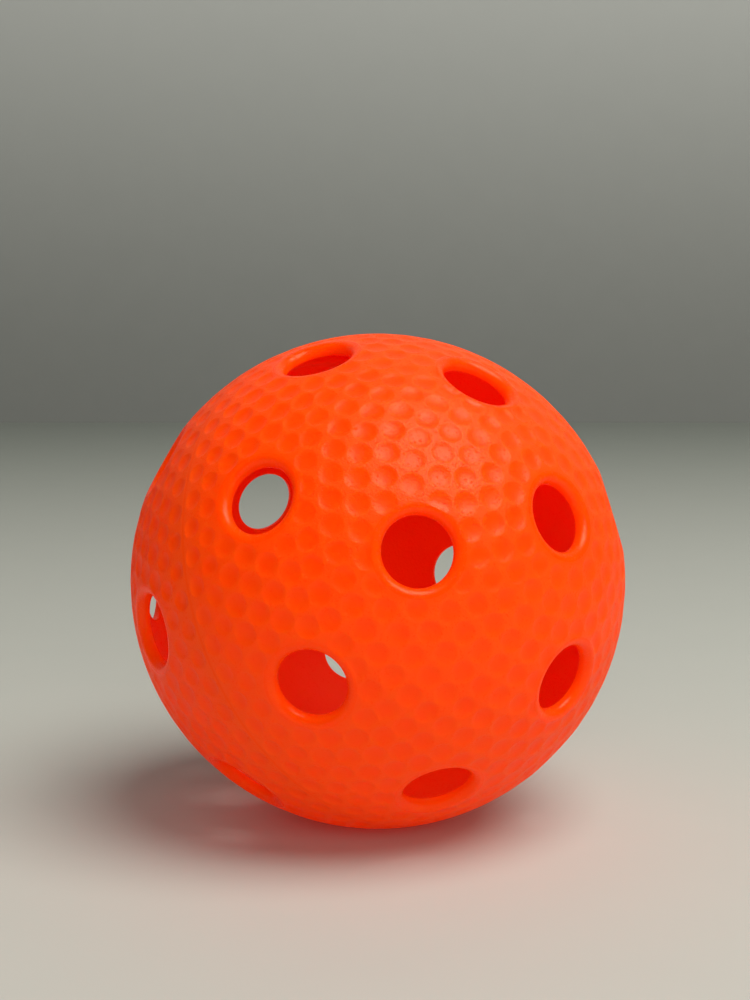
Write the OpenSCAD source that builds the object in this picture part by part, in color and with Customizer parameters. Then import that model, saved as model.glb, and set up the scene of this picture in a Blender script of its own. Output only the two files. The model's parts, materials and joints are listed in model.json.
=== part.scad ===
// Floorball ball: two moulded half shells with round holes and dimples, welded round the middle.
// It lies on one of its holes, with that hole straight below the centre. Millimetres, +Z up,
// origin at the centre of the ball.

/* [Ball] */
// Outside diameter of the ball
ball_d = 72; // [66:0.5:80]
// Thickness of the moulded wall
wall = 1.8; // [1.4:0.1:2.6]

/* [Holes] */
// Diameter of every hole
hole_d = 9.5; // [7:0.1:10.5]
// Radius of the rounded lip on the outside of a hole
lip_r = 1.2; // [0.8:0.1:1.3]
// How far the lip's round stands above a tangent one, which leaves a fine edge round the hole
lip_rise = 0.05; // [0.03:0.01:0.1]
// Angle from the pole of a half to its inner ring of holes
inner_ring_angle = 36.7; // [34:0.1:39]
// Holes in the inner ring
inner_ring_count = 4; // [3:1:4]
// Angle from the pole of a half to its outer ring of holes
outer_ring_angle = 69.6; // [66:0.1:72]
// Holes in the outer ring
outer_ring_count = 8; // [6:1:8]

/* [Dimples] */
// Width of a dimple at its rim
dimple_d = 3; // [2.4:0.1:3.1]
// Depth of a dimple
dimple_depth = 0.25; // [0.2:0.05:0.35]
// Distance from dimple to dimple along a row
dimple_pitch = 3.56; // [3.5:0.02:4.4]
// Most dimples in one row
row_limit = 56; // [48:1:60]
// Distance over the skin from the pole of a half to its first row of dimples
first_row = 8.6; // [8:0.1:10]
// Distance from row to row over the cap of a half
cap_row_pitch = 3.55; // [3.5:0.05:4.4]
// Angle from the pole where the cap's rows end, and rows that sit closer, like bricks, begin
belt_angle = 61; // [50:1:66]
// Distance from row to row over the belt next to the weld
belt_row_pitch = 2.95; // [2.95:0.05:4]
// Width of the plain land between the last row of dimples and the weld
seam_land = 0.05; // [0.05:0.05:1]

/* [Weld] */
// Height of the band of remelted plastic between the two halves
weld_h = 0.4; // [0.3:0.1:1.2]
// Depth of the fine groove that the weld leaves on the outside
groove_depth = 0.1; // [0.05:0.05:0.3]
// Radius of each of the two beads that the weld squeezes out on the inside
bead_r = 0.7; // [0.5:0.05:1]
// Share of its radius by which the centre of a bead stands off the middle of the weld
bead_spread = 0.8; // [0.6:0.05:0.9]
// Twist of one half against the other where they were welded
weld_twist = 1.5; // [-5:0.5:5]

/* [As it lies] */
// Turn of the ball about the vertical, which brings its right-hand pole to the front
lie_turn = -43; // [-180:1:180]

/* [Hidden] */
$fn = 96;

outer_r = ball_d / 2;
inner_r = outer_r - wall;
hole_r = hole_d / 2;
// Half of the angle between two holes of the outer ring: the two halves are staggered by it
stagger = 180 / outer_ring_count;
// The lip's round has its centre this far from the hole's axis, and this far out along it
lip_x = hole_r + lip_r;
lip_z = sqrt(pow(outer_r - lip_r, 2) - pow(lip_x, 2)) + lip_rise;
// Cutters run this far past the faces that they cut
past = 2;
// A hole's tool starts this far out, just inside the wall, so that no two tools meet
hole_base = sqrt(pow(inner_r, 2) - pow(hole_r, 2)) - past;
shell_orange = "#f03c08";
weld_orange = "#d83206";

// Direction at an angle from the pole of a half, at an azimuth
function direction(angle, azimuth) = [sin(angle) * cos(azimuth), sin(angle) * sin(azimuth), cos(angle)];
// Angle at the ball's centre over a distance along its skin
function angle_over(distance) = distance / outer_r * 180 / PI;

// Angle from the pole and azimuth of every hole of one half: one at its pole and two rings round it
hole_places = concat(
    [[0, 0]],
    [for (i = [0 : inner_ring_count - 1]) [inner_ring_angle, i * 360 / inner_ring_count]],
    [for (i = [0 : outer_ring_count - 1]) [outer_ring_angle, stagger + i * 360 / outer_ring_count]]
);
hole_directions = [for (place = hole_places) direction(place[0], place[1])];

// A dimple is part of a sphere that meets the ball along the dimple's rim
bowl_h = dimple_depth - outer_r + sqrt(pow(outer_r, 2) - pow(dimple_d / 2, 2));
bowl_r = (pow(dimple_d / 2, 2) + pow(bowl_h, 2)) / (2 * bowl_h);
// The tool of a dimple stands this far past the ball's skin
dimple_past = 0.03;
// No dimple comes nearer to the axis of a hole than this angle, so that the lips stay whole
dimple_clear = asin((lip_x + dimple_d / 2) / outer_r);
function clear_of_holes(angle, azimuth) =
    min([for (hole = hole_directions) acos(min(1, hole * direction(angle, azimuth)))]) > dimple_clear;

// Angles of the rows: over the cap, and then over the belt as far as the weld lets them
cap_rows = [for (angle = [angle_over(first_row) : angle_over(cap_row_pitch) : belt_angle]) angle];
belt_step = angle_over(belt_row_pitch);
last_angle = 90 - angle_over(weld_h / 2 + seam_land + dimple_d / 2);
belt_rows = [for (angle = [cap_rows[len(cap_rows) - 1] + belt_step : belt_step : last_angle]) angle];
rows = concat(cap_rows, belt_rows);
function row_size(angle) = min(row_limit, round(2 * PI * outer_r * sin(angle) / dimple_pitch));
// Angle and azimuth of every dimple: each second row is shifted by half of its spacing
dimple_places = [
    for (row = [0 : len(rows) - 1])
        let (count = row_size(rows[row]))
            for (i = [0 : count - 1])
                let (azimuth = (i + row % 2 / 2) * 360 / count)
                    if (clear_of_holes(rows[row], azimuth)) [rows[row], azimuth]
];

// Points a child that stands on +Z along the direction at an angle from the pole, at an azimuth
module aim(angle, azimuth) {
    rotate([0, angle, azimuth]) children();
}

// Lays the welded ball down: a hole of the left half's outer ring points straight down
module as_it_lies() {
    rotate([0, outer_ring_angle, lie_turn]) children();
}

// The tool of one hole along +Z: a straight bore, opened by the lip's round at the outside
module hole_cutter() {
    translate([0, 0, hole_base]) cylinder(r = hole_r, h = outer_r + past - hole_base);
    rotate_extrude() difference() {
        translate([0, lip_z]) square([lip_x, outer_r + past - lip_z]);
        translate([lip_x, lip_z]) circle(r = lip_r);
    }
}

// The tool of one dimple along +Z
module dimple_cutter() {
    translate([0, 0, outer_r - dimple_depth]) rotate_extrude() intersection() {
        translate([0, bowl_r]) circle(r = bowl_r);
        square([dimple_d / 2 + dimple_past, dimple_depth + dimple_past]);
    }
}

// One moulded half in its own frame, pole at +Z, with its weld face on top of the weld band
module half_shell() {
    difference() {
        sphere(r = outer_r);
        sphere(r = inner_r);
        translate([-outer_r - past, -outer_r - past, -2 * outer_r - 2 * past + weld_h / 2])
            cube(2 * (outer_r + past));
        for (place = hole_places) aim(place[0], place[1]) hole_cutter();
        for (place = dimple_places) aim(place[0], place[1]) dimple_cutter();
    }
}

module right_half_shell() {
    color(shell_orange) as_it_lies() rotate([0, 0, weld_twist]) half_shell();
}

// The same moulding turned over and staggered, so that its holes fall between the other half's
module left_half_shell() {
    color(shell_orange) as_it_lies() rotate([180, 0, -stagger]) half_shell();
}

// Remelted band between the halves, with the two beads that it pushes out on the inside
module weld_ring() {
    color(weld_orange) as_it_lies() {
        rotate_extrude()
            translate([inner_r - bead_r / 2, -weld_h / 2])
                square([wall + bead_r / 2 - groove_depth, weld_h]);
        intersection() {
            sphere(r = inner_r);
            for (side = [-1, 1])
                rotate_extrude()
                    translate([inner_r - bead_r / 2, side * bead_r * bead_spread])
                        circle(r = bead_r);
        }
    }
}

right_half_shell();
left_half_shell();
weld_ring();
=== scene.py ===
import json
import math

import bpy
import numpy as np
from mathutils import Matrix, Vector
from mathutils.geometry import delaunay_2d_cdt


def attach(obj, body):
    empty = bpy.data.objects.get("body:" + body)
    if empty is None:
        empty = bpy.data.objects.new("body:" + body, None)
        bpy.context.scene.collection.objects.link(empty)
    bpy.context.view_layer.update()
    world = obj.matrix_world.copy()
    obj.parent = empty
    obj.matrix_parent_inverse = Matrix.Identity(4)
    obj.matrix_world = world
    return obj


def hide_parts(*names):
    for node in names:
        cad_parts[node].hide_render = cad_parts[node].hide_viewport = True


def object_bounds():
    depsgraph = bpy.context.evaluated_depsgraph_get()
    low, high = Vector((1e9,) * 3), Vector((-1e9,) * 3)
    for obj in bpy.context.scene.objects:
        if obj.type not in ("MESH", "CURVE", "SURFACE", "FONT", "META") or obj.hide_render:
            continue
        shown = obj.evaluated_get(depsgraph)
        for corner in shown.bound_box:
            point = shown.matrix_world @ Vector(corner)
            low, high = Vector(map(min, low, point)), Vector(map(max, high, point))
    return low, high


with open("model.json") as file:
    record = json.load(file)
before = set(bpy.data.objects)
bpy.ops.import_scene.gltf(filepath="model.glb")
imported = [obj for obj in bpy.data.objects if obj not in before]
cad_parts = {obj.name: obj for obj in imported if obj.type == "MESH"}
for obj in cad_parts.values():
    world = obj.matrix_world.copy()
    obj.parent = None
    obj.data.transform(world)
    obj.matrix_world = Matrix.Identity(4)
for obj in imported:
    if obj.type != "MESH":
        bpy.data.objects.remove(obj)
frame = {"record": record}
cad_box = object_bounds()


# Right half shell: one of two like mouldings of satin orange polyethylene. Core pins in the mould leave its
# round holes with rolled lips, and rows of small domes in the cavity leave its dimples. It has one hole at
# its pole and two rings of holes round that, and its rim is welded to the left half.
mounts = {mount["name"]: mount for mount in frame["record"]["mounts"]}
hole_axes = np.array([mount["axis"] for mount in mounts.values()])
hole_r = mounts["right_pole_hole"]["dims"]["r_mm"] / 1000
ball_r = 0.036
wall = 0.0018
inner_r = ball_r - wall
lip_r = 0.0012
lip_rise = 0.000002
lip_shine = 0.0009
inner_edge_r = 0.0003
weld_half = 0.0002
rim_round = 0.00001
rim_z = weld_half + rim_round
pole_axis = np.array([0.0, 0.0, 1.0])

# Dimples: rows round the pole, which sit closer over the belt next to the weld
dimple_r = 0.00163
dimple_depth = 0.00027
depth_spread = 0.12
bowl_power = 2.8
dimple_rim_soft = 0.000015
dimple_fade = 0.0006
dimple_pitch = 0.00356
dimple_row_limit = 56
first_row = math.radians(13.7)
cap_row_step = math.radians(5.65)
cap_rows = 9
belt_row_step = math.radians(4.7)
belt_rows = 6
seam_row = math.radians(78)
seam_dimple_share = 0.87

# Points of the mesh: counts round and down the holes, and distances between points on the two skins
lip_points = 96
lip_steps = 12
bore_steps = 4
inner_edge_steps = 5
rim_points = 480
dimple_rings = ((0.3, 8), (0.58, 14), (0.82, 20), (0.94, 24), (1.03, 24), (1.13, 24))
land_spacing = 0.0008
land_clear = 0.0003
edge_clear = 0.00012
inner_spacing = 0.0014
inner_clear = 0.0005


def unit(vectors):
    """The same directions with length one."""
    return vectors / np.linalg.norm(vectors, axis=-1, keepdims=True)


def angle_from(points, axes):
    """Angle at the ball's centre from each point to the nearest of some axes."""
    return np.arccos(np.clip(unit(points) @ axes.T, -1, 1)).min(axis=1)


def circle_round(axis, radius, height, count):
    """Points on a circle round an axis through the ball's centre, at a height along the axis."""
    upright_limit = 0.9
    upright = abs(axis[2]) > upright_limit
    helper = np.array([1.0, 0.0, 0.0]) if upright else np.array([0.0, 0.0, 1.0])
    across = unit(np.cross(helper, axis))
    turn = np.linspace(0, 2 * np.pi, count, endpoint=False)[:, None]
    return height * axis + radius * (np.cos(turn) * across + np.sin(turn) * np.cross(axis, across))


def spread_points(radius, spacing):
    """Points spread evenly over the upper half of a sphere, on a spiral."""
    count = int(2 * np.pi * radius ** 2 / spacing ** 2)
    height = (np.arange(count) + 0.5) / count
    golden_turn = np.pi * (3 - math.sqrt(5))
    turn = np.arange(count) * golden_turn
    level = np.sqrt(1 - height ** 2)
    return radius * np.stack([level * np.cos(turn), level * np.sin(turn), height], axis=1)


def half_axes(side):
    """A half's own axes as rows: x towards its first inner ring hole, z out of its pole."""
    pole = np.array(mounts[side + "_pole_hole"]["axis"])
    first = np.array(mounts[side + "_inner_ring_hole_1"]["axis"])
    across = unit(first - pole * (pole @ first))
    return np.array([across, np.cross(pole, across), pole])


def dimple_places(holes, rng):
    """Direction, radius and depth of each dimple of a half: rows round the pole, clear of the holes."""
    found = []
    for row in range(cap_rows + belt_rows):
        belt = max(0, row - cap_rows + 1)
        polar = first_row + (row - belt) * cap_row_step + belt * belt_row_step
        level = math.sin(polar)
        count = min(dimple_row_limit, round(2 * math.pi * ball_r * level / dimple_pitch))
        turn = (np.arange(count) + row % 2 / 2) * 2 * np.pi / count
        height = np.full(count, math.cos(polar))
        places = np.stack([level * np.cos(turn), level * np.sin(turn), height], axis=1)
        share = seam_dimple_share if polar > seam_row else 1.0
        size = np.stack([np.full(count, dimple_r * share), np.full(count, dimple_depth * share)], axis=1)
        found.append(np.hstack([places, size]))
    found = np.concatenate(found)
    found[:, 4] *= rng.uniform(1 - depth_spread, 1 + depth_spread, len(found))
    return found[angle_from(found[:, :3], holes) * ball_r > hole_r + lip_r]


def dimple_dip(points, dimples):
    """How far the skin dips below the ball at each point, with softly rounded rims."""
    dips = np.empty(len(points))
    batch = 4000
    for start in range(0, len(points), batch):
        part = unit(points[start:start + batch])
        cosines = part @ dimples[:, :3].T
        nearest = cosines.argmax(axis=1)
        off_centre = ball_r * np.arccos(np.clip(cosines.max(axis=1), -1, 1))
        bowl = dimples[nearest, 4] * (1 - (off_centre / dimples[nearest, 3]) ** bowl_power)
        dips[start:start + batch] = (bowl + np.hypot(bowl, dimple_rim_soft)) / 2
    return dips


def lip_profile():
    """Distance from the hole's axis and height along it, from the lip's outer edge down to the inner skin."""
    lip_x = hole_r + lip_r
    lip_z = math.sqrt((ball_r - lip_r) ** 2 - lip_x ** 2) + lip_rise
    reach = math.hypot(lip_x, lip_z)
    along = (ball_r ** 2 + reach ** 2 - lip_r ** 2) / (2 * reach)
    aside = math.sqrt(ball_r ** 2 - along ** 2)
    edge_x = (along * lip_x - aside * lip_z) / reach
    edge_z = (along * lip_z + aside * lip_x) / reach
    start = math.atan2(edge_z - lip_z, edge_x - lip_x)
    turns = np.linspace(start, math.pi, lip_steps)
    lip = np.stack([lip_x + lip_r * np.cos(turns), lip_z + lip_r * np.sin(turns)], axis=1)
    core_x = hole_r + inner_edge_r
    core_z = math.sqrt((inner_r + inner_edge_r) ** 2 - core_x ** 2)
    turns = np.linspace(math.pi, math.pi + math.atan2(core_z, core_x), inner_edge_steps)
    core = np.stack([core_x + inner_edge_r * np.cos(turns), core_z + inner_edge_r * np.sin(turns)], axis=1)
    straight = np.linspace(lip[-1], core[0], bore_steps)[1:-1]
    return np.concatenate([lip, straight, core])


def outer_points(holes, dimples, edge):
    """Points of the outer skin: rings of the holes, the rim, rings in each dimple, and some on the lands."""
    hole_rings = [circle_round(hole, *edge, lip_points) for hole in holes]
    rim = circle_round(pole_axis, math.sqrt(ball_r ** 2 - rim_z ** 2), rim_z, rim_points)
    inside = [dimples[:, :3] * ball_r]
    for share, count in dimple_rings:
        for dimple in dimples:
            angle = share * dimple[3] / ball_r
            ring = circle_round(dimple[:3], math.sin(angle), math.cos(angle), count)
            inside.append(ball_r * ring)
    lands = spread_points(ball_r, land_spacing)
    widest_share = dimple_rings[-1][0]
    off_dimples = ball_r * np.arccos(np.clip(unit(lands) @ dimples[:, :3].T, -1, 1))
    gaps = off_dimples - widest_share * dimples[:, 3]
    inside.append(lands[gaps.min(axis=1) > land_clear])
    inside = np.concatenate(inside)
    off_lip = (angle_from(inside, holes) - math.atan2(*edge)) * ball_r
    inside = inside[(off_lip > edge_clear) & (inside[:, 2] > rim_z + edge_clear)]
    return np.concatenate(hole_rings + [rim, inside])


def inner_points(holes, edge):
    """Points of the inner skin: rings that close the walls of the holes, the rim, and an even spread."""
    hole_rings = [circle_round(hole, *edge, lip_points) for hole in holes]
    rim = circle_round(pole_axis, math.sqrt(inner_r ** 2 - weld_half ** 2), weld_half, rim_points)
    spread = spread_points(inner_r, inner_spacing)
    off_edge = (angle_from(spread, holes) - math.atan2(*edge)) * inner_r
    spread = spread[(off_edge > inner_clear) & (spread[:, 2] > weld_half + inner_clear)]
    return np.concatenate(hole_rings + [rim, spread])


def ring_numbers(hole, start=0):
    """Numbers of the points of one hole's ring, where the rings of all holes begin at a number."""
    return np.arange(lip_points) + hole * lip_points + start


def skin_faces(points, hole_count):
    """Triangles over points of the upper half of a sphere, left open in the holes, whose rings come first."""
    flat = points[:, :2] / (np.linalg.norm(points, axis=1) + points[:, 2])[:, None]
    flat = [Vector(place) for place in (flat / ball_r).tolist()]
    hole_of = np.full(len(points), -1)
    edges = []
    for hole in range(hole_count):
        ring = ring_numbers(hole)
        hole_of[ring] = hole
        edges += list(zip(ring.tolist(), np.roll(ring, -1).tolist()))
    same_place = 1e-9
    made = delaunay_2d_cdt(flat, edges, [], 0, same_place)
    back = np.array([source[0] for source in made[3]])
    faces = back[np.array([list(face) for face in made[2]])]
    owners = hole_of[faces]
    open_inside = (owners[:, 0] >= 0) & (owners == owners[:, :1]).all(axis=1)
    return faces[~open_inside]


def band_faces(upper, lower):
    """Quads between two rings of point numbers, ring by ring in the same order."""
    return np.stack([upper, lower, np.roll(lower, -1), np.roll(upper, -1)], axis=1)


def half_mesh(side, seed):
    """The mesh of one half in the ball's place, with the values that its plastic reads on its points."""
    axes = half_axes(side)
    holes = hole_axes[hole_axes @ axes[2] > 0] @ axes.T
    dimples = dimple_places(holes, np.random.default_rng(seed))
    profile = lip_profile()
    ring_count = len(holes) * lip_points

    # Outer skin, before the dimples sink into it
    outer = outer_points(holes, dimples, profile[0])
    points = [outer]
    faces = [skin_faces(outer, len(holes))]
    outer_rim = np.arange(rim_points) + ring_count
    count = len(outer)

    # Lips and walls of the holes, ring below ring
    upper = [ring_numbers(hole) for hole in range(len(holes))]
    for place in profile[1:-1]:
        for hole, axis in enumerate(holes):
            points.append(circle_round(axis, *place, lip_points))
            lower = ring_numbers(hole, count)
            faces.append(band_faces(lower, upper[hole]))
            upper[hole] = lower
        count += ring_count
    wall_end = count

    # Inner skin, whose hole rings close the walls
    inner = inner_points(holes, profile[-1])
    points.append(inner)
    faces.append(skin_faces(inner, len(holes))[:, ::-1] + count)
    for hole in range(len(holes)):
        faces.append(band_faces(ring_numbers(hole, count), upper[hole]))
    inner_rim = outer_rim + count
    count += len(inner)

    # Weld face, with its outer edge just broken
    points.append(circle_round(pole_axis, ball_r - rim_round, weld_half, rim_points))
    edge = np.arange(rim_points) + count
    faces.append(band_faces(outer_rim, edge))
    faces.append(band_faces(edge, inner_rim))
    count += rim_points

    # Dimples sink into the outer skin and fade out at the lips and at the weld
    points = np.concatenate(points)
    off_lip = (angle_from(outer, holes) - math.atan2(*profile[0])) * ball_r
    calm = np.clip(np.minimum(off_lip, outer[:, 2] - rim_z) / dimple_fade, 0, 1)
    dips = dimple_dip(outer, dimples) * calm ** 2 * (3 - 2 * calm)
    points[:len(outer)] -= unit(outer) * dips[:, None]

    # Values for the plastic: depth in a dimple, nearness to a lip, the outside, and height over the weld
    dip = np.zeros(count)
    dip[:len(outer)] = np.clip(dips / dimple_depth, 0, 1)
    lip = np.zeros(count)
    lip[:len(outer)] = np.clip(1 - off_lip / lip_shine, 0, 1)
    lip[len(outer):wall_end] = 1
    outside = np.zeros(count)
    outside[:len(outer)] = 1
    outside[len(outer):wall_end] = np.repeat(np.linspace(1, 0, len(profile) - 2), ring_count)

    mesh = bpy.data.meshes.new(side + "_half_shell_skin")
    mesh.from_pydata((points @ axes).tolist(), [], [face for part in faces for face in part.tolist()])
    values = (("dip", dip), ("lip", lip), ("outside", outside), ("pole_height", points[:, 2]))
    for name, value in values:
        mesh.attributes.new(name, "FLOAT", "POINT").data.foreach_set("value", value.astype(np.float32))
    mesh.shade_smooth()
    ends = np.empty(2 * len(mesh.edges), dtype=np.int32)
    mesh.edges.foreach_get("vertices", ends)
    on_rim = np.isin(ends, outer_rim).reshape(-1, 2).all(axis=1)
    mesh.attributes.new("sharp_edge", "BOOLEAN", "EDGE").data.foreach_set("value", on_rim)
    return mesh


def new_node(tree, kind, **settings):
    """A shader node with its own settings, not its sockets."""
    node = tree.nodes.new("ShaderNode" + kind)
    for name, value in settings.items():
        setattr(node, name, value)
    return node


def wire(tree, target, source):
    """Sets a socket to a plain value, or links another node's output to it."""
    if isinstance(source, bpy.types.NodeSocket):
        tree.links.new(source, target)
    else:
        target.default_value = source


def math_node(tree, operation, first, second):
    """The result of one sum on two values or sockets."""
    node = new_node(tree, "Math", operation=operation)
    wire(tree, node.inputs[0], first)
    wire(tree, node.inputs[1], second)
    return node.outputs[0]


def ramp_node(tree, value, low, high, to_low=0.0, to_high=1.0):
    """A value's place between two limits, eased and spread over a new range."""
    node = new_node(tree, "MapRange", interpolation_type="SMOOTHSTEP")
    for name, source in (
        ("Value", value), ("From Min", low), ("From Max", high), ("To Min", to_low), ("To Max", to_high)
    ):
        wire(tree, node.inputs[name], source)
    return node.outputs["Result"]


def blend_node(tree, share, first, second):
    """A mix of two colours. The node's colour sockets share their names with others, so they go by number."""
    node = new_node(tree, "Mix", data_type="RGBA")
    wire(tree, node.inputs["Factor"], share)
    wire(tree, node.inputs[6], first)
    wire(tree, node.inputs[7], second)
    return node.outputs[2]


def noise_node(tree, scale, detail=2.0, roughness=0.5):
    """Noise over the piece's own place, in metres."""
    place = new_node(tree, "TexCoord")
    node = new_node(tree, "TexNoise")
    tree.links.new(place.outputs["Object"], node.inputs["Vector"])
    wire(tree, node.inputs["Scale"], scale)
    node.inputs["Detail"].default_value = detail
    node.inputs["Roughness"].default_value = roughness
    return node.outputs["Fac"]


def mesh_value(tree, name):
    """A value that the mesh carries on its points."""
    return new_node(tree, "Attribute", attribute_name=name).outputs["Fac"]


def played_surface_group():
    """The finish that play leaves on moulded plastic: fine grain, tiny pits, faint clouds and scuffs."""
    group = bpy.data.node_groups.new("played_surface", "ShaderNodeTree")
    for name in ("Grain Scale", "Pit Amount", "Scuff Amount"):
        group.interface.new_socket(name, in_out="INPUT", socket_type="NodeSocketFloat")
    for name in ("Grain", "Pits", "Clouds", "Scuffs"):
        group.interface.new_socket(name, in_out="OUTPUT", socket_type="NodeSocketFloat")
    entry = group.nodes.new("NodeGroupInput")
    leave = group.nodes.new("NodeGroupOutput")
    grain = noise_node(group, entry.outputs["Grain Scale"])
    pits = ramp_node(group, noise_node(group, scale=2800.0, detail=1.0), low=0.6, high=0.68)
    clouds = ramp_node(group, noise_node(group, scale=160.0, detail=4.0, roughness=0.55), low=0.3, high=0.7)
    scuffs = ramp_node(group, noise_node(group, scale=900.0, detail=5.0, roughness=0.7), low=0.6, high=0.72)
    wire(group, leave.inputs["Grain"], grain)
    wire(group, leave.inputs["Pits"], math_node(group, "MULTIPLY", pits, entry.outputs["Pit Amount"]))
    wire(group, leave.inputs["Clouds"], clouds)
    wire(group, leave.inputs["Scuffs"], math_node(group, "MULTIPLY", scuffs, entry.outputs["Scuff Amount"]))
    return group


# Plastic of the shell: its oranges, the red that it lets through, and a painted red glow that its outside
# gives off under any lamp
played_surface = played_surface_group()
shell_orange = (0.998, 0.1, 0.0004, 1.0)
shell_cloud_orange = (0.996, 0.09, 0.0003, 1.0)
# Paler orange of the lands and the scuffs: partly wear, partly a painted sheen that leaves the dimples darker
shell_worn_and_sheen_orange = (0.998, 0.16, 0.006, 1.0)
# Painted shade in the pits: a slightly deeper orange on the tiny pits
shell_pit_shade_orange = (0.99, 0.085, 0.0003, 1.0)
shell_glow_red = (1.0, 0.03, 0.0005, 1.0)
shell_glow_share = 0.35
# Painted red glow: the outside gives off a little red light of its own, the same under any lamp
painted_glow_red = (1.0, 0.03, 0.0, 1.0)
painted_glow_off = (0.0, 0.0, 0.0, 1.0)
painted_glow_strength = 0.2
plastic_ior = 1.5

# Finish of the shell: wear and a painted sheen on the lands, wear along the seam, roughness, grain, gloss and
# depth of the light
shell_grain_scale = 3600.0
shell_pit_amount = 0.8
shell_scuff_amount = 0.5
land_rub_and_sheen = 0.24
seam_rub = 0.3
seam_low = 0.0002
seam_high = 0.0016
shell_roughness = 0.33
land_roughness = 0.08
lip_polish = 0.1
pit_roughness = 0.5
shell_bump_strength = 0.5
shell_bump_depth = 0.00011
grain_middle = 0.5
smooth_grain_share = 0.35
pit_depth_share = 0.3
shell_gloss = 0.34
shell_gloss_tint = (1.0, 0.88, 0.62, 1.0)
scatter_low = 0.0004
scatter_high = 0.0024
scatter_shares = (1.0, 0.3, 0.1)
scatter_depth = 0.0012


def add_painted_red_glow(tree, shader):
    """Paints a steady red glow on the outside: light of its own under any lamp, which stands in for red light
    carried round and through the ball.
    """
    outside = mesh_value(tree, "outside")
    wire(tree, shader.inputs["Emission Color"], blend_node(tree, outside, painted_glow_off, painted_glow_red))
    shader.inputs["Emission Strength"].default_value = painted_glow_strength


def let_light_through(tree, shader):
    """Lets a share of the light pass through the wall, which leaves only its red."""
    glow = new_node(tree, "BsdfTranslucent")
    glow.inputs["Color"].default_value = shell_glow_red
    share = new_node(tree, "MixShader")
    share.inputs[0].default_value = shell_glow_share
    tree.links.new(shader.outputs["BSDF"], share.inputs[1])
    tree.links.new(glow.outputs["BSDF"], share.inputs[2])
    tree.links.new(share.outputs["Shader"], tree.nodes["Material Output"].inputs["Surface"])


def shell_plastic_material():
    """Satin polyethylene, smoother on the lips and in the dimples, with a paler skin between them that is
    partly rubbed and partly a painted sheen.
    """
    material = bpy.data.materials.new("satin_polyethylene")
    material.use_nodes = True
    tree = material.node_tree
    shader = tree.nodes["Principled BSDF"]
    surface = new_node(tree, "Group", node_tree=played_surface)
    surface.inputs["Grain Scale"].default_value = shell_grain_scale
    surface.inputs["Pit Amount"].default_value = shell_pit_amount
    surface.inputs["Scuff Amount"].default_value = shell_scuff_amount
    pits = surface.outputs["Pits"]
    scuffs = surface.outputs["Scuffs"]
    lip = mesh_value(tree, "lip")
    height = mesh_value(tree, "pole_height")
    in_dip = ramp_node(tree, mesh_value(tree, "dip"), low=0.05, high=0.85)
    off_lip = math_node(tree, "SUBTRACT", 1.0, lip)
    land = math_node(tree, "MULTIPLY", math_node(tree, "SUBTRACT", 1.0, in_dip), off_lip)

    # Colour: faint clouds, paler lands that are partly rubbed and partly a painted sheen, scuffs along the
    # seam, and painted shade in the pits
    body = blend_node(tree, surface.outputs["Clouds"], shell_orange, shell_cloud_orange)
    # Painted sheen: the lands turn paler, partly from rubbing and partly in place of reflected light
    rubbed_and_sheen_land = math_node(tree, "MULTIPLY", math_node(tree, "ADD", scuffs, land_rub_and_sheen), land)
    near_seam = ramp_node(tree, height, seam_low, seam_high, to_low=1.0, to_high=0.0)
    rubbed_seam = math_node(tree, "MULTIPLY", math_node(tree, "MULTIPLY", scuffs, near_seam), seam_rub)
    rubbed = math_node(tree, "ADD", rubbed_and_sheen_land, rubbed_seam)
    skin = blend_node(tree, rubbed, body, shell_worn_and_sheen_orange)
    # Painted shade: the pits are a deeper orange
    wire(tree, shader.inputs["Base Color"], blend_node(tree, pits, skin, shell_pit_shade_orange))

    # Roughness: duller lands, polished lips and dull pits
    rough = math_node(tree, "ADD", math_node(tree, "MULTIPLY", land, land_roughness), shell_roughness)
    rough = math_node(tree, "SUBTRACT", rough, math_node(tree, "MULTIPLY", lip, lip_polish))
    rough = math_node(tree, "ADD", rough, math_node(tree, "MULTIPLY", pits, pit_roughness))
    wire(tree, shader.inputs["Roughness"], rough)

    # Bump: grain about its middle, weaker in the dimples and on the lips, and the pits
    bump = new_node(tree, "Bump")
    bump.inputs["Strength"].default_value = shell_bump_strength
    bump.inputs["Distance"].default_value = shell_bump_depth
    grain = math_node(tree, "SUBTRACT", surface.outputs["Grain"], grain_middle)
    grain = math_node(tree, "MULTIPLY", grain, math_node(tree, "ADD", land, smooth_grain_share))
    sunk = math_node(tree, "MULTIPLY", pits, pit_depth_share)
    wire(tree, bump.inputs["Height"], math_node(tree, "SUBTRACT", grain, sunk))
    wire(tree, shader.inputs["Normal"], bump.outputs["Normal"])

    # Gloss, and light that spreads in the wall except close to the weld, where the wall's rim would lose it
    shader.inputs["IOR"].default_value = plastic_ior
    shader.inputs["Specular IOR Level"].default_value = shell_gloss
    shader.inputs["Specular Tint"].default_value = shell_gloss_tint
    wire(tree, shader.inputs["Subsurface Weight"], ramp_node(tree, height, scatter_low, scatter_high))
    shader.inputs["Subsurface Radius"].default_value = scatter_shares
    shader.inputs["Subsurface Scale"].default_value = scatter_depth
    # Painted red glow on the outside
    add_painted_red_glow(tree, shader)
    let_light_through(tree, shader)
    return material


shell_plastic = shell_plastic_material()


def place_half(side, seed):
    """Puts one half in the ball, in place of its solid."""
    mesh = half_mesh(side, seed)
    mesh.materials.append(shell_plastic)
    piece = bpy.data.objects.new(side + "_half_shell_moulding", mesh)
    bpy.context.collection.objects.link(piece)
    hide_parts(side + "_half_shell")
    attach(piece, "root")


place_half("right", seed=11)


# Left half shell: the same polyethylene moulding as the right half, turned over and staggered by half of the
# outer ring's spacing. It is welded to the right half, and the ball lies on one of its outer holes.
place_half("left", seed=23)


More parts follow.
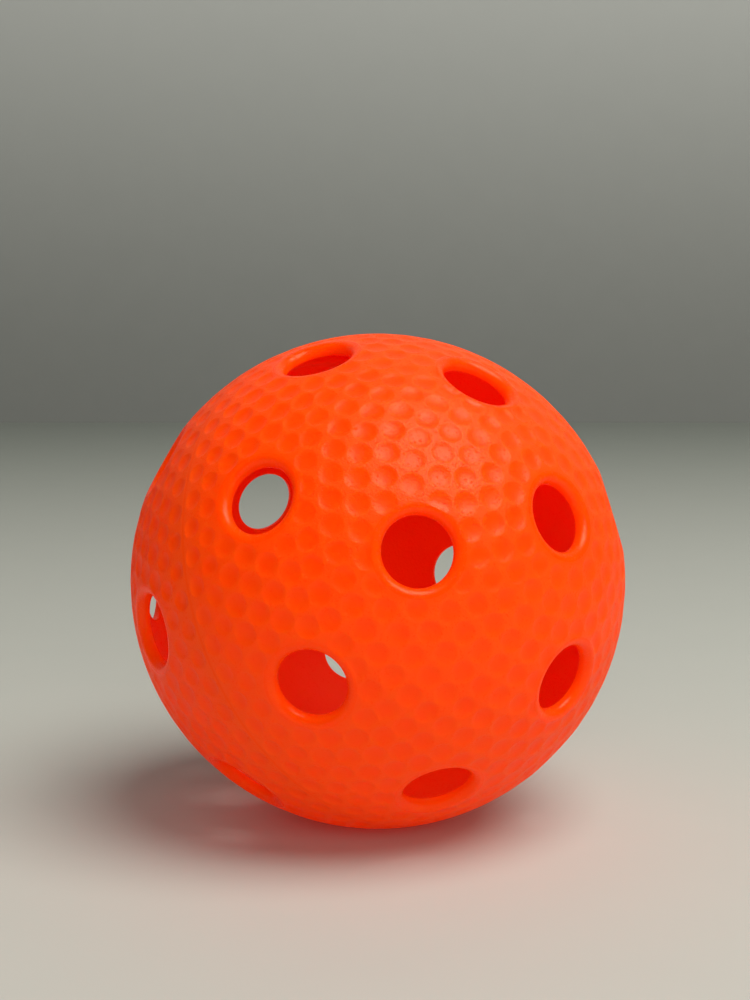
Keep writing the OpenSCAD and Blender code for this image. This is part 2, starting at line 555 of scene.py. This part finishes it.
# Weld ring: the plastic of both rims, melted and pressed together by the welding plate. Outside it is drawn
# in to a fine, uneven groove, and inside the squeezed-out melt stands as two rolled beads side by side.
groove_depth = 0.000012
groove_wander = 0.00001
groove_lobes = (9, 31, 67, 113)
bead_r = 0.0007
bead_in = 0.00035
bead_apart = 0.00056
bead_close = 0.96
bead_steps = 14
bead_root = 0.0001
bead_wander = 0.00012
bead_lobes = (3, 7, 17, 29)
weld_gap = 0.000005
weld_flat_share = 0.95
ring_points = 720
weld_seed = 5
weakest_wave = 0.4
weld_orange = (0.99, 0.1, 0.001, 1.0)
weld_pale_orange = (0.995, 0.17, 0.015, 1.0)
weld_grain_scale = 4000.0
weld_scuff_amount = 0.8
weld_rub = 0.6
weld_roughness = 0.32
weld_cloud_roughness = 0.15
weld_bump_strength = 0.4
weld_bump_depth = 0.00004
weld_gloss = 0.1


def wave(turn, rng, lobes):
    """A smooth wander round the ring between minus one and one."""
    total = np.zeros_like(turn)
    for count in lobes:
        total += rng.uniform(weakest_wave, 1) * np.sin(count * turn + rng.uniform(0, 2 * np.pi))
    return total / len(lobes)


def weld_ring_mesh():
    """The ring as a closed turned shape: a neck between the halves and a double bead inside."""
    rng = np.random.default_rng(weld_seed)
    turn = np.linspace(0, 2 * np.pi, ring_points, endpoint=False)
    half = weld_half - weld_gap
    groove_r = ball_r - groove_depth
    bead_x = inner_r - bead_in
    meet = math.acos(min(1.0, (inner_r - 2 * weld_gap - bead_x) / bead_r))
    arc = np.linspace(meet, math.pi + math.asin(bead_apart / bead_r) * bead_close, bead_steps)
    bead = np.stack([bead_x + bead_r * np.cos(arc), bead_apart + bead_r * np.sin(arc)], axis=1)
    neck = [[groove_r, half * weld_flat_share], [groove_r, half], [inner_r - weld_gap, half]]
    side = np.concatenate([neck, bead])
    profile = np.concatenate([side, side[::-1] * [1, -1]])
    outward = np.where(profile[:, 0] > inner_r, 1.0, 0.0)
    groove = groove_wander * wave(turn, rng, groove_lobes)
    swell = bead_wander * wave(turn, rng, bead_lobes)
    on_bead = np.clip((inner_r - bead_root - profile[:, 0]) / bead_r, 0, 1)
    radius = profile[None, :, 0] + groove[:, None] * outward - swell[:, None] * on_bead
    height = np.broadcast_to(profile[:, 1], radius.shape)
    points = np.stack([radius * np.cos(turn)[:, None], radius * np.sin(turn)[:, None], height], axis=2)
    number = np.arange(radius.size).reshape(radius.shape)
    ahead = np.roll(number, -1, axis=0)
    faces = np.stack([number, ahead, np.roll(ahead, -1, axis=1), np.roll(number, -1, axis=1)], axis=2)
    mesh = bpy.data.meshes.new("weld_ring_skin")
    places = points.reshape(-1, 3) @ half_axes("right")
    mesh.from_pydata(places.tolist(), [], faces.reshape(-1, 4).tolist())
    outside = np.tile(outward, ring_points).astype(np.float32)
    mesh.attributes.new("outside", "FLOAT", "POINT").data.foreach_set("value", outside)
    mesh.shade_smooth()
    return mesh


def weld_plastic_material():
    """Remelted polyethylene: the shell's plastic, a little deeper in colour, with scuffed high spots."""
    material = bpy.data.materials.new("remelted_polyethylene")
    material.use_nodes = True
    tree = material.node_tree
    shader = tree.nodes["Principled BSDF"]
    surface = new_node(tree, "Group", node_tree=played_surface)
    surface.inputs["Grain Scale"].default_value = weld_grain_scale
    surface.inputs["Scuff Amount"].default_value = weld_scuff_amount
    rubbed = math_node(tree, "MULTIPLY", surface.outputs["Scuffs"], weld_rub)
    wire(tree, shader.inputs["Base Color"], blend_node(tree, rubbed, weld_orange, weld_pale_orange))
    cloudy = math_node(tree, "MULTIPLY", surface.outputs["Clouds"], weld_cloud_roughness)
    wire(tree, shader.inputs["Roughness"], math_node(tree, "ADD", cloudy, weld_roughness))
    bump = new_node(tree, "Bump")
    bump.inputs["Strength"].default_value = weld_bump_strength
    bump.inputs["Distance"].default_value = weld_bump_depth
    wire(tree, bump.inputs["Height"], surface.outputs["Grain"])
    wire(tree, shader.inputs["Normal"], bump.outputs["Normal"])
    shader.inputs["IOR"].default_value = plastic_ior
    shader.inputs["Specular IOR Level"].default_value = weld_gloss
    # Painted red glow on the outside
    add_painted_red_glow(tree, shader)
    let_light_through(tree, shader)
    return material


weld = bpy.data.objects.new("weld_ring_bead", weld_ring_mesh())
weld.data.materials.append(weld_plastic_material())
bpy.context.collection.objects.link(weld)
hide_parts("weld_ring")
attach(weld, "root")


# Floor and backdrop: a plain pale board under the ball and a plain grey wall far behind it. Both are matt
# paint on card, and neither is part of the ball. The floor carries painted shade that darkens it towards the
# back, and the wall painted shade that darkens it towards the bottom, in place of the lamps' falloff.
floor_z = cad_box[0].z
card_half = 2.0
card_high = 2.0
floor_back = 0.75
floor_shade_start = -0.1
wall_shade_end = 0.35
floor_near_lit_pale = (0.492, 0.499, 0.455, 1.0)
floor_far_shade = (0.24, 0.26, 0.23, 1.0)
wall_low_shade_grey = (0.195, 0.202, 0.187, 1.0)
wall_high_lit_grey = (0.5, 0.515, 0.49, 1.0)
card_mottle_scale = 60.0
card_mottle = 0.04
card_roughness = 0.7


def painted_card(name, corners, first_colour, last_colour, axis, first, last):
    """A flat sheet of matt card through four corners, with painted shade from one colour to another along an
    axis.
    """
    mesh = bpy.data.meshes.new(name)
    mesh.from_pydata(corners, [], [(0, 1, 2, 3)])
    card = bpy.data.objects.new(name, mesh)
    bpy.context.collection.objects.link(card)
    material = bpy.data.materials.new(name + "_paint")
    material.use_nodes = True
    tree = material.node_tree
    shader = tree.nodes["Principled BSDF"]
    place = new_node(tree, "TexCoord")
    parts = new_node(tree, "SeparateXYZ")
    tree.links.new(place.outputs["Object"], parts.inputs["Vector"])
    mottle = math_node(tree, "MULTIPLY", noise_node(tree, card_mottle_scale), card_mottle)
    share = math_node(tree, "ADD", ramp_node(tree, parts.outputs[axis], first, last), mottle)
    wire(tree, shader.inputs["Base Color"], blend_node(tree, share, first_colour, last_colour))
    shader.inputs["Roughness"].default_value = card_roughness
    mesh.materials.append(material)


floor_corners = [(-card_half, -card_half, floor_z), (card_half, -card_half, floor_z),
                 (card_half, floor_back, floor_z), (-card_half, floor_back, floor_z)]
# Painted shade: the floor darkens towards the back
painted_card("floor_card", floor_corners, floor_near_lit_pale, floor_far_shade, "Y", floor_shade_start, floor_back)
wall_corners = [(-card_half, floor_back, floor_z), (card_half, floor_back, floor_z),
                (card_half, floor_back, card_high), (-card_half, floor_back, card_high)]
# Painted shade: the wall darkens towards the bottom and is painted lighter towards the top
painted_card("wall_card", wall_corners, wall_low_shade_grey, wall_high_lit_grey, "Z", floor_z, wall_shade_end)


# Light: a large soft lamp high on the right and a little in front, whose shine shows on the ball. A wide weak
# lamp in front of the ball and an even grey sky only fill the shade, and leave no shine.
lamp_colour = (1.0, 0.97, 0.92)
sky_grey = (0.62, 0.64, 0.66, 1.0)
sky_strength = 0.2


def soft_lamp(name, direction, distance, width, power):
    """A round soft lamp that faces the ball from a direction."""
    light = bpy.data.lights.new(name, "AREA")
    light.shape = "DISK"
    light.size = width
    light.energy = power
    light.color = lamp_colour
    lamp = bpy.data.objects.new(name, light)
    away = Vector(direction).normalized()
    lamp.location = away * distance
    lamp.rotation_euler = away.to_track_quat("Z", "Y").to_euler()
    bpy.context.collection.objects.link(lamp)
    return lamp


soft_lamp("key_lamp", direction=(0.38, -0.31, 0.87), distance=1.2, width=0.95, power=16.5)
front_lamp = soft_lamp("front_lamp", direction=(0.18, -0.93, 0.25), distance=1.3, width=1.2, power=8.5)
front_lamp.visible_glossy = False
sky = bpy.data.worlds.new("grey_sky")
sky.use_nodes = True
sky.node_tree.nodes["Background"].inputs["Color"].default_value = sky_grey
sky.node_tree.nodes["Background"].inputs["Strength"].default_value = sky_strength
bpy.context.scene.world = sky
sky.cycles_visibility.glossy = False
# Red light crosses the hollow of the ball many times before it leaves through the walls
bpy.context.scene.cycles.diffuse_bounces = 12
bpy.context.scene.cycles.max_bounces = 16


# Camera: close to the ball and a little above it, looking slightly down, as the photograph was taken.
camera_place = (-0.00041, -0.26109, 0.04357)
camera_dip = math.radians(6.94)
camera_near = 0.01
photo_high = 1000
focal_pixels = 1800
sensor_high = 36.0

camera = bpy.data.cameras.new("photo_camera")
camera.sensor_fit = "VERTICAL"
camera.sensor_height = sensor_high
camera.lens = sensor_high * focal_pixels / photo_high
camera.clip_start = camera_near
photo_camera = bpy.data.objects.new("photo_camera", camera)
photo_camera.location = camera_place
photo_camera.rotation_euler = (math.pi / 2 - camera_dip, 0, 0)
bpy.context.collection.objects.link(photo_camera)
bpy.context.scene.camera = photo_camera
bpy.context.scene.view_settings.view_transform = "Standard"
